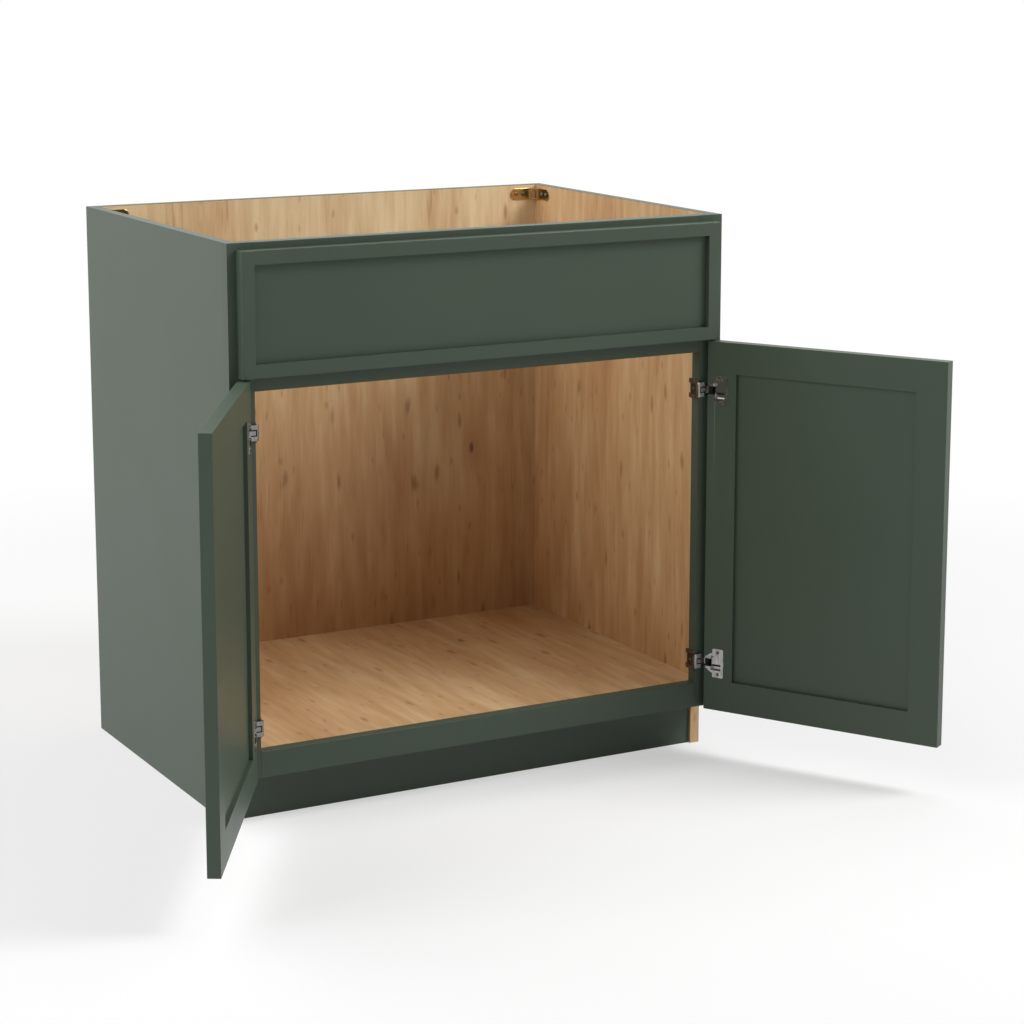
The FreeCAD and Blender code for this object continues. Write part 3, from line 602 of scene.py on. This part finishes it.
@dataclass(frozen=True, kw_only=True)
class PlatedMetal(Finish):
    """Pressed and plated steel: fine rolling marks and faint clouds in the plating.

    Attributes:
        bright: Lightest tone of the plating.
        dull: Darkest tone.
    """

    metallic: float = 1.0
    bright: Colour
    dull: Colour

    CLOUD_SCALE = 70.0
    CLOUD_SHARE, CLOUD_SHEEN = 0.4, 0.2
    ROLLED_ACROSS, ROLLED_ALONG = 800.0, 40.0
    ROLLED_SHARE, ROLLED_SHEEN, ROLLED_HEIGHT = 0.6, 0.15, 4e-6
    SHADES = (0.35, 0.65)

    def lay(self, bench: Workbench) -> Coat:
        """Plating with rolling marks.

        Args:
            bench: Adds the nodes.

        Returns:
            The metal's coat.
        """
        x, y, z = bench.place()
        cloud = bench.clouds(self.CLOUD_SCALE, detail=3.0)
        spot = bench.vector(x * self.ROLLED_ACROSS, y * self.ROLLED_ACROSS, z * self.ROLLED_ALONG)
        rolled = bench.noise(spot, detail=2.0)
        shade = cloud * self.CLOUD_SHARE + rolled * self.ROLLED_SHARE
        sheen = (cloud - NOISE_MIDDLE) * self.CLOUD_SHEEN + (rolled - NOISE_MIDDLE) * self.ROLLED_SHEEN
        return Coat(
            bench.mix(shade.rise(*self.SHADES), self.bright, self.dull),
            self.roughness + sheen,
            rolled * self.ROLLED_HEIGHT,
        )


@dataclass(frozen=True, kw_only=True)
class HingeMetal(PlatedMetal):
    """Plating darkened by painted shade round the hinge's pin and in its hollows.

    Attributes:
        pin_x: Distance of the hinge axes from the middle of the cabinet, to both sides.
        pin_y: Place of the hinge axes along Y.
        painted_shade_colour: Colour of the painted shade.
        painted_shade_roughness: Roughness where the shade is painted.
    """

    pin_x: float
    pin_y: float
    painted_shade_colour: Colour = (0.025, 0.023, 0.02)
    painted_shade_roughness: float = 0.5

    def lay(self, bench: Workbench) -> Coat:
        """Painted shade over plating.

        Args:
            bench: Adds the nodes.

        Returns:
            The joined coat.
        """
        plating = super().lay(bench)
        x, y, _ = bench.place()
        # Painted shade: the plating turns dark round the pin and in the hinge's hollows.
        painted_share = self._painted_shade_share(bench, abs(x) - self.pin_x, y - self.pin_y)
        return Coat(
            bench.mix(painted_share, plating.colour, self.painted_shade_colour),
            plating.roughness + (self.painted_shade_roughness - plating.roughness) * painted_share,
            plating.height,
        )

    def _painted_shade_share(self, bench: Workbench, out: Signal, back: Signal) -> Signal:
        """1 where shade is painted, at a distance outwards and backwards from the pin."""
        raise NotImplementedError


@dataclass(frozen=True, kw_only=True)
class ArmMetal(HingeMetal):
    """Plating of a hinge arm with painted shade round its pin and along the leg inside the frame.

    Attributes:
        pin_painted_shade: Distances from the pin between which the painted shade ends.
        leg_painted_shade: Distances behind the pin between which the leg's painted shade starts.
        leg_share: Share of painted shade on the leg.
    """

    pin_painted_shade: Limits = (0.006, 0.0072)
    leg_painted_shade: Limits = (0.011, 0.013)
    leg_share: float = 0.8

    def _painted_shade_share(self, bench: Workbench, out: Signal, back: Signal) -> Signal:
        """Painted shade near the pin and behind the frame's front.

        Args:
            bench: Adds the nodes.
            out: Distance from the pin towards the cabinet's side.
            back: Distance from the pin towards the wall.

        Returns:
            The share of painted shade.
        """
        round_pin_shade = 1.0 - bench.length(out, back).rise(*self.pin_painted_shade)
        return round_pin_shade + back.rise(*self.leg_painted_shade) * self.leg_share


@dataclass(frozen=True, kw_only=True)
class CupMetal(HingeMetal):
    """Plating of a hinge cup on a door that stands open, with painted shade in its pit and slot.

    Attributes:
        door_turn: Angle at which the doors stand open.
        pit_height: Heights above the pin between which the painted shade ends.
    """

    door_turn: float = math.radians(120.0)
    pit_height: Limits = (0.002, 0.0034)

    def _painted_shade_share(self, bench: Workbench, out: Signal, back: Signal) -> Signal:
        """Painted shade below the floor of the tray.

        Args:
            bench: Not used.
            out: Distance from the pin towards the cabinet's side.
            back: Distance from the pin towards the wall.

        Returns:
            The share of painted shade.
        """
        height = back * math.cos(self.door_turn) - out * math.sin(self.door_turn)
        return 1.0 - height.rise(*self.pit_height)


PAINT = SatinPaint("satin_green_paint", 0.42, specular=0.3, colour=(0.056, 0.079, 0.055))
SIDE_WOOD = KnottyWood("side_wood", 0.5, specular=0.35, seed=7.0)
# The back board has painted shade towards the floor and painted light near its top.
BACK_WOOD = KnottyWood("back_wood", 0.5, specular=0.35, painted_shade_downwards=0.28)
DECK_WOOD = KnottyWood("deck_wood", 0.5, specular=0.35, grain=Grain.INWARD, seed=4.0)
NICKEL_TONES = {"bright": (0.43, 0.42, 0.41), "dull": (0.28, 0.275, 0.265)}
# The arm's tones are the nickel's made darker: a copy of the same plating with painted shade.
ARM_TONES_WITH_PAINTED_SHADE = {"bright": (0.28, 0.275, 0.268), "dull": (0.182, 0.179, 0.172)}
NICKEL = PlatedMetal("nickel_plate", 0.2, **NICKEL_TONES)
BRONZED = PlatedMetal("bronzed_steel", 0.36, bright=(0.2, 0.155, 0.12), dull=(0.11, 0.08, 0.06))
BLACKENED = PlatedMetal("blackened_steel", 0.4, bright=(0.15, 0.145, 0.14), dull=(0.07, 0.07, 0.07))
ZINC = PlatedMetal("yellow_zinc", 0.18, bright=(0.62, 0.43, 0.16), dull=(0.42, 0.3, 0.12))


def body_of(node: str) -> str:
    """The body that a CAD node rides on."""
    return frame["nodes"][node]["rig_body"]


def slot_of(node: str) -> str:
    """The material slot that the record gives a CAD node."""
    rows = frame["record"]["subparts"]
    return next(row["material_slot"] for row in rows if row["node"] == node)


@dataclass
class DressedGroup:
    """CAD nodes that stay, with softened edges and a finish.

    Attributes:
        nodes: Names of the CAD nodes.
        material: Their material.
        edge_width: Width of the softened edges.
        clamped: Whether short edges, such as a small hole's, make all softened edges narrower.
        weld_distance: Vertices closer than this are joined first.
        sharp_angle: Edges that turn by more than this are softened.
    """

    nodes: Sequence[str]
    material: bpy.types.Material
    edge_width: float
    clamped: bool = True
    weld_distance: float = 1e-5
    sharp_angle: float = math.radians(40.0)

    SEGMENTS = 2
    ROUND_PROFILE = 0.5

    def dress(self) -> None:
        """Soften the edges of every node and give it the material."""
        for name in self.nodes:
            piece = frame["nodes"][name]
            self._soften(piece)
            for material_slot in piece.material_slots:
                material_slot.material = self.material
            log.info("dressed %s with %s", name, self.material.name)

    def _soften(self, piece: bpy.types.Object) -> None:
        """Join the loose triangles and bevel the sharp edges.

        Args:
            piece: The CAD node's object, whose own mesh stays as it is.
        """
        weld = piece.modifiers.new("joined_triangles", "WELD")
        weld.merge_threshold = self.weld_distance
        bevel = piece.modifiers.new("softened_edges", "BEVEL")
        bevel.width = self.edge_width
        bevel.segments = self.SEGMENTS
        bevel.profile = self.ROUND_PROFILE
        bevel.limit_method = "ANGLE"
        bevel.angle_limit = self.sharp_angle
        bevel.use_clamp_overlap = self.clamped
        bevel.loop_slide = self.clamped


@dataclass
class ScrewGroup:
    """Cross-recessed screws in place of a group of plain CAD screws.

    Attributes:
        node: The CAD node that the screws stand for.
        material: Their material.
        head_radius: Radius of the head at its seat.
        head_height: Height of the head.
        shank_radius: Radius of the shank.
    """

    node: str
    material: bpy.types.Material
    head_radius: float
    head_height: float
    shank_radius: float

    # Shares of the head's radius or height; the taper's is of the slot's mouth, the tip's of the shank.
    CROWN_RADIUS = 0.72
    SHOULDER_RADIUS, SHOULDER_LEVEL = 0.93, 0.6
    FLANK_LEVEL = 0.2
    SLOT_REACH = 0.5
    SLOT_HALF_WIDTH = 0.12
    SLOT_TAPER = 0.7
    SLOT_DEPTH = 0.75
    TIP_RADIUS, TIP_LENGTH = 0.25, 2.0
    # Points beyond this share of the widest distance from the axis are on the head's rim.
    RIM_SHARE = 0.9
    # Faces whose normal has more than this along Z are shaded flat.
    FLAT_NORMAL = 0.95
    JOIN_DISTANCE = 1e-6

    def build(self) -> bpy.types.Object:
        """Make one screw at each CAD screw.

        Returns:
            The piece that holds all screws of the group.
        """
        group = bmesh.new()
        for seat, length in self._seats():
            first = len(group.verts)
            screw = self._screw(length)
            group.from_mesh(screw)
            bpy.data.meshes.remove(screw)
            group.verts.ensure_lookup_table()
            bmesh.ops.transform(group, matrix=seat, verts=group.verts[first:])
        mesh = bpy.data.meshes.new(f"{self.node}_cross_recessed")
        group.to_mesh(mesh)
        group.free()
        mesh.materials.append(self.material)
        piece = bpy.data.objects.new(mesh.name, mesh)
        bpy.context.scene.collection.objects.link(piece)
        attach(piece, body_of(self.node))
        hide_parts(self.node)
        slot_of(self.node)
        log.info("built %s", piece.name)
        return piece

    def _seats(self) -> list[tuple[Matrix, float]]:
        """Find where the CAD screws sit.

        Returns:
            For each screw the matrix of its seat, with the head towards +Z, and its shank length.
        """
        solid = bmesh.new()
        solid.from_mesh(frame["nodes"][self.node].data)
        bmesh.ops.remove_doubles(solid, verts=solid.verts, dist=self.JOIN_DISTANCE)
        waiting = set(solid.verts)
        seats = []
        for vert in solid.verts:
            if vert in waiting:
                island = self._island(vert, waiting)
                seats.append(self._seat(np.array([member.co for member in island])))
        solid.free()
        return seats

    @staticmethod
    def _island(
        start: bmesh.types.BMVert, waiting: set[bmesh.types.BMVert]
    ) -> list[bmesh.types.BMVert]:
        """Collect the vertices of one screw.

        Args:
            start: Any vertex of it.
            waiting: Vertices not yet collected, from which the screw's own are taken.

        Returns:
            All vertices that edges join to the first one.
        """
        waiting.remove(start)
        island = [start]
        for vert in island:
            for edge in vert.link_edges:
                other = edge.other_vert(vert)
                if other in waiting:
                    waiting.remove(other)
                    island.append(other)
        return island

    def _seat(self, points: np.ndarray) -> tuple[Matrix, float]:
        """Work out one screw's seat.

        Args:
            points: Its vertices.

        Returns:
            The matrix of the seat and the shank's length.
        """
        low, high = points.min(axis=0), points.max(axis=0)
        middle = (low + high) / 2.0
        axis = np.linalg.eigh(np.cov((points - middle).T))[1][:, -1]
        along = (points - middle) @ axis
        away = np.linalg.norm(points - middle - np.outer(along, axis), axis=1)
        if along[away > self.RIM_SHARE * away.max()].mean() < 0.0:
            axis, along = -axis, -along
        top = middle + axis * along.max()
        seat = Vector(top - axis * self.head_height)
        turn = Vector(axis).to_track_quat("Z", "Y").to_matrix().to_4x4()
        return Matrix.Translation(seat) @ turn, float(np.ptp(along)) - self.head_height

    def _screw(self, length: float) -> bpy.types.Mesh:
        """Model one screw with its seat at the origin and its head towards +Z.

        Args:
            length: Length of the shank.

        Returns:
            A closed mesh.
        """
        screw = bmesh.new()
        bmesh.ops.create_grid(screw, x_segments=3, y_segments=3, size=1.0)
        reach = self.SLOT_REACH * self.head_radius
        half = self.SLOT_HALF_WIDTH * self.head_radius
        for vert in screw.verts:
            x, y = (math.copysign(reach if abs(part) > HALF else half, part) for part in vert.co.xy)
            vert.co = (x, y, self.head_height)
        self._cut_cross(screw, half)
        rim = [edge for edge in screw.edges if edge.is_boundary]
        bmesh.ops.subdivide_edges(screw, edges=rim, cuts=1)
        tip = -length
        neck = tip + self.TIP_LENGTH * self.shank_radius
        rings = (
            (self.CROWN_RADIUS * self.head_radius, self.head_height),
            (self.SHOULDER_RADIUS * self.head_radius, self.SHOULDER_LEVEL * self.head_height),
            (self.head_radius, self.FLANK_LEVEL * self.head_height),
            (self.head_radius, 0.0),
            (self.shank_radius, 0.0),
            (self.shank_radius, neck),
            (self.TIP_RADIUS * self.shank_radius, tip),
        )
        for radius, level in rings:
            self._grow_ring(screw, radius, level)
        bmesh.ops.holes_fill(screw, edges=[edge for edge in screw.edges if edge.is_boundary])
        bmesh.ops.recalc_face_normals(screw, faces=screw.faces)
        for face in screw.faces:
            face.smooth = abs(face.normal.z) < self.FLAT_NORMAL
        mesh = bpy.data.meshes.new("screw_pattern")
        screw.to_mesh(mesh)
        screw.free()
        return mesh

    def _cut_cross(self, screw: bmesh.types.BMesh, half: float) -> None:
        """Sink the cross recess into the head.

        Args:
            screw: The head's top, a grid of nine faces.
            half: Half of the slot's width.
        """
        middles = {face: face.calc_center_median().xy for face in screw.faces}
        cross = [face for face, middle in middles.items() if min(map(abs, middle)) < half]
        sunk = bmesh.ops.extrude_face_region(screw, geom=cross)["geom"]
        floor = [item for item in sunk if isinstance(item, bmesh.types.BMVert)]
        bmesh.ops.scale(screw, vec=(self.SLOT_TAPER, self.SLOT_TAPER, 1.0), verts=floor)
        bmesh.ops.translate(screw, vec=(0.0, 0.0, -self.SLOT_DEPTH * self.head_height), verts=floor)
        bmesh.ops.delete(screw, geom=[face for face in cross if face.is_valid], context="FACES_ONLY")

    @staticmethod
    def _grow_ring(screw: bmesh.types.BMesh, radius: float, level: float) -> None:
        """Extrude the open rim to a circle.

        Args:
            screw: The unfinished screw.
            radius: Radius of the circle.
            level: Its height.
        """
        rim = [edge for edge in screw.edges if edge.is_boundary]
        grown = bmesh.ops.extrude_edge_only(screw, edges=rim)["geom"]
        for item in grown:
            if isinstance(item, bmesh.types.BMVert):
                outward = item.co.xy.normalized() * radius
                item.co = (outward.x, outward.y, level)


@dataclass
class Carcass:
    """The box: faced sides, a faced back and a wooden deck.

    Attributes:
        panel_edge: Width of the softened edges.
        paint_skin: How deep the paint goes round the edges.
    """

    panel_edge: float = 0.0005
    paint_skin: float = 0.0004

    def dress(self) -> None:
        """Dress the panels."""
        sides = [f"{side}_side_panel" for side in SIDES]
        DressedGroup(sides, self._faced("faced_side", SIDE_WOOD), self.panel_edge).dress()
        DressedGroup(["back_panel"], self._faced("faced_back", BACK_WOOD), self.panel_edge).dress()
        DressedGroup(["deck_panel"], DECK_WOOD.material(), self.panel_edge).dress()

    def _faced(self, name: str, wood: KnottyWood) -> bpy.types.Material:
        """The material of a board that is painted outside and on its top edge.

        Args:
            name: Name of the material.
            wood: What shows where the paint ends.

        Returns:
            The material.
        """
        _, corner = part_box("right_side_panel")
        board = FacedBoard(
            name,
            wood.roughness,
            specular=wood.specular,
            paint=PAINT,
            wood=wood,
            outer_face=corner.x - self.paint_skin,
            top_edge=corner.z - self.paint_skin,
        )
        return board.material()


@dataclass
class PaintedFronts:
    """Face frame, toe board, false front and the wood of both doors.

    Attributes:
        frame_edge: Width of the softened edges on the frame and the toe board.
        front_edge: The same on the false front and the doors.
    """

    frame_edge: float = 0.0008
    front_edge: float = 0.0003

    def dress(self, paint: bpy.types.Material) -> None:
        """Dress every painted piece.

        Args:
            paint: The paint's material.
        """
        uprights = ["toe_kick_board", *(f"{side}_frame_stile" for side in SIDES)]
        DressedGroup(uprights, paint, self.frame_edge).dress()
        rails = [f"frame_{level}_rail" for level in ("top", "mid", "bottom")]
        DressedGroup(rails, paint, self.frame_edge, clamped=False).dress()
        across = ("top_rail", "bottom_rail", "panel")
        fronts = [f"false_front_{part}" for part in ("left_stile", "right_stile", *across)]
        for side in SIDES:
            fronts += [f"{side}_door_{part}" for part in ("hinge_stile", "free_stile", *across)]
        DressedGroup(fronts, paint, self.front_edge).dress()


@dataclass
class Hardware:
    """Hinges, corner braces and all screws.

    Attributes:
        hinge_edge: Width of the softened edges on the hinges.
        brace_edge: The same on the braces.
    """

    hinge_edge: float = 0.00015
    brace_edge: float = 0.0003

    HINGE_SCREW = {"head_radius": 0.0027, "head_height": 0.0008, "shank_radius": 0.0015}
    BRACE_SCREW = {"head_radius": 0.0034, "head_height": 0.0018, "shank_radius": 0.0017}
    FRONT_SCREW = {"head_radius": 0.0045, "head_height": 0.002, "shank_radius": 0.002}

    def dress(self) -> None:
        """Dress the hinges and braces and build their screws."""
        blackened = BLACKENED.material()
        low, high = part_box("right_upper_hinge_pin")
        pin = {"pin_x": (low.x + high.x) / 2.0, "pin_y": (low.y + high.y) / 2.0}
        metals = {
            "base": BRONZED.material(),
            "arm": ArmMetal("arm_plate", NICKEL.roughness, **ARM_TONES_WITH_PAINTED_SHADE, **pin).material(),
            "cup": CupMetal("cup_plate", NICKEL.roughness, **NICKEL_TONES, **pin).material(),
            "pin": blackened,
        }
        for part, metal in metals.items():
            nodes = [f"{side}_{height}_hinge_{part}" for side in SIDES for height in HEIGHTS]
            DressedGroup(nodes, metal, self.hinge_edge).dress()
        corners = [f"{depth}_{side}_corner_brace" for depth in ("back", "front") for side in SIDES]
        DressedGroup(corners, ZINC.material(), self.brace_edge).dress()
        for node in ("hinge_base_screws", "left_door_hinge_screws", "right_door_hinge_screws"):
            ScrewGroup(node, blackened, **self.HINGE_SCREW).build()
        ScrewGroup("corner_brace_screws", blackened, **self.BRACE_SCREW).build()
        ScrewGroup("false_front_screws", NICKEL.material(), **self.FRONT_SCREW).build()


@dataclass(frozen=True)
class Softbox:
    """A square area light that faces the cabinet.

    Attributes:
        name: Name of the light.
        place: Where its middle is.
        width: Length of its sides.
        power: Its power in watts.
        target: The point that it faces.
    """

    name: str
    place: Point
    width: float
    power: float
    target: Point = (0.0, -0.35, 0.45)

    def hang(self) -> None:
        """Add the light to the scene."""
        lamp = bpy.data.lights.new(self.name, "AREA")
        lamp.size = self.width
        lamp.energy = self.power
        holder = bpy.data.objects.new(self.name, lamp)
        holder.location = self.place
        aim = Vector(self.target) - Vector(self.place)
        holder.rotation_euler = aim.to_track_quat("-Z", "Y").to_euler()
        bpy.context.scene.collection.objects.link(holder)


SOFTBOXES = (
    Softbox("left_softbox", (-3.3, -0.6, 2.1), 2.2, 52.0),
    Softbox("high_left_softbox", (-2.8, -0.2, 3.0), 1.8, 14.0),
    Softbox("front_left_softbox", (-2.4, -3.0, 2.2), 1.8, 12.0),
    Softbox("front_right_softbox", (2.4, -2.4, 2.6), 1.4, 31.0),
    Softbox("high_right_softbox", (2.0, -1.8, 2.9), 1.2, 61.0),
    Softbox("top_right_softbox", (1.2, -0.3, 3.4), 1.2, 14.0),
    Softbox("top_softbox", (0.6, 0.8, 3.4), 1.2, 8.0),
    Softbox("back_left_softbox", (-1.5, 1.4, 3.1), 2.6, 53.0),
)


@dataclass
class Studio:
    """Pale floor, soft light and the camera.

    Attributes:
        sky_light: Strength of the light from all round.
        floor_half: Half of the floor's length.
        floor_colour: Colour of the floor near the cabinet.
        floor_middle: Place along Y round which the floor turns white.
        floor_fade: Distances between which it turns white.
        floor_glow: How white the floor is before that.
        lens: Focal length in millimetres.
        shift: Vertical shift of the lens.
        eye: Where the camera is.
        heading: Angle by which it looks to the right of +Y.
        pitch: Angle by which it looks down.
        sight: How far it sees.
    """

    sky_light: float = 0.02
    floor_half: float = 60.0
    floor_colour: Colour = (0.93, 0.93, 0.93)
    floor_middle: float = -0.5
    floor_fade: Limits = (0.9, 2.6)
    floor_glow: float = 0.5
    lens: float = 91.85
    shift: float = -0.1
    eye: Point = (-1.8312, -4.0291, 1.3093)
    heading: float = math.radians(28.595)
    pitch: float = math.radians(10.317)
    sight: float = 200.0

    def set_up(self) -> None:
        """Build the whole studio."""
        scene = bpy.context.scene
        scene.view_settings.view_transform = "Standard"
        self._light_sky(scene)
        self._lay_floor(scene)
        for softbox in SOFTBOXES:
            softbox.hang()
        self._place_camera(scene)

    @staticmethod
    def _seen(bench: Workbench) -> Signal:
        """1 for rays that show the background: seen, mirrored or passed through glass."""
        camera = bench.node("ShaderNodeLightPath", output="Is Camera Ray")
        shown = camera + camera.also("Is Glossy Ray") + camera.also("Is Transmission Ray")
        return shown > HALF

    def _light_sky(self, scene: bpy.types.Scene) -> None:
        """Even soft light from all round, white where it is seen.

        Args:
            scene: The scene.
        """
        scene.world = bpy.data.worlds.new("soft_surroundings")
        scene.world.use_nodes = True
        bench = Workbench(scene.world.node_tree)
        strength = self.sky_light + self._seen(bench) * (1.0 - self.sky_light)
        inputs = {"Color": (*WHITE, OPAQUE), "Strength": strength}
        sky = bench.node("ShaderNodeBackground", inputs=inputs)
        bench.node("ShaderNodeOutputWorld", inputs={"Surface": sky})

    def _lay_floor(self, scene: bpy.types.Scene) -> None:
        """A pale floor that keeps the shadow and turns white further away.

        Args:
            scene: The scene.
        """
        sheet = bmesh.new()
        bmesh.ops.create_grid(sheet, x_segments=1, y_segments=1, size=self.floor_half)
        mesh = bpy.data.meshes.new("studio_floor")
        sheet.to_mesh(mesh)
        sheet.free()
        floor = bpy.data.objects.new("studio_floor", mesh)
        scene.collection.objects.link(floor)
        mesh.materials.append(self._floor_material())

    def _floor_material(self) -> bpy.types.Material:
        """Diffuse near the cabinet, plain white beyond.

        Returns:
            The floor's material.
        """
        made = bpy.data.materials.new("pale_floor")
        made.use_nodes = True
        bench = Workbench(made.node_tree)
        x, y, _ = bench.place()
        beyond = bench.length(x, y - self.floor_middle).rise(*self.floor_fade)
        share = (self.floor_glow + beyond * (1.0 - self.floor_glow)) * self._seen(bench)
        matte = bench.node("ShaderNodeBsdfDiffuse", inputs={0: (*self.floor_colour, OPAQUE)})
        white = bench.node("ShaderNodeEmission", inputs={0: (*WHITE, OPAQUE)})
        joined = bench.node("ShaderNodeMixShader", inputs={0: share, 1: matte, 2: white})
        bench.node("ShaderNodeOutputMaterial", inputs={"Surface": joined})
        return made

    def _place_camera(self, scene: bpy.types.Scene) -> None:
        """The camera at the photograph's viewing angle.

        Args:
            scene: The scene.
        """
        view = bpy.data.cameras.new("camera")
        view.lens = self.lens
        view.shift_y = self.shift
        view.clip_end = self.sight
        camera = bpy.data.objects.new("camera", view)
        camera.location = self.eye
        camera.rotation_euler = (math.pi / 2.0 - self.pitch, 0.0, -self.heading)
        scene.collection.objects.link(camera)
        scene.camera = camera


def main() -> None:
    """Dress the cabinet and set up the studio."""
    logging.basicConfig(level=logging.INFO)
    Carcass().dress()
    PaintedFronts().dress(PAINT.material())
    Hardware().dress()
    Studio().set_up()


if __name__ == "__main__":
    main()
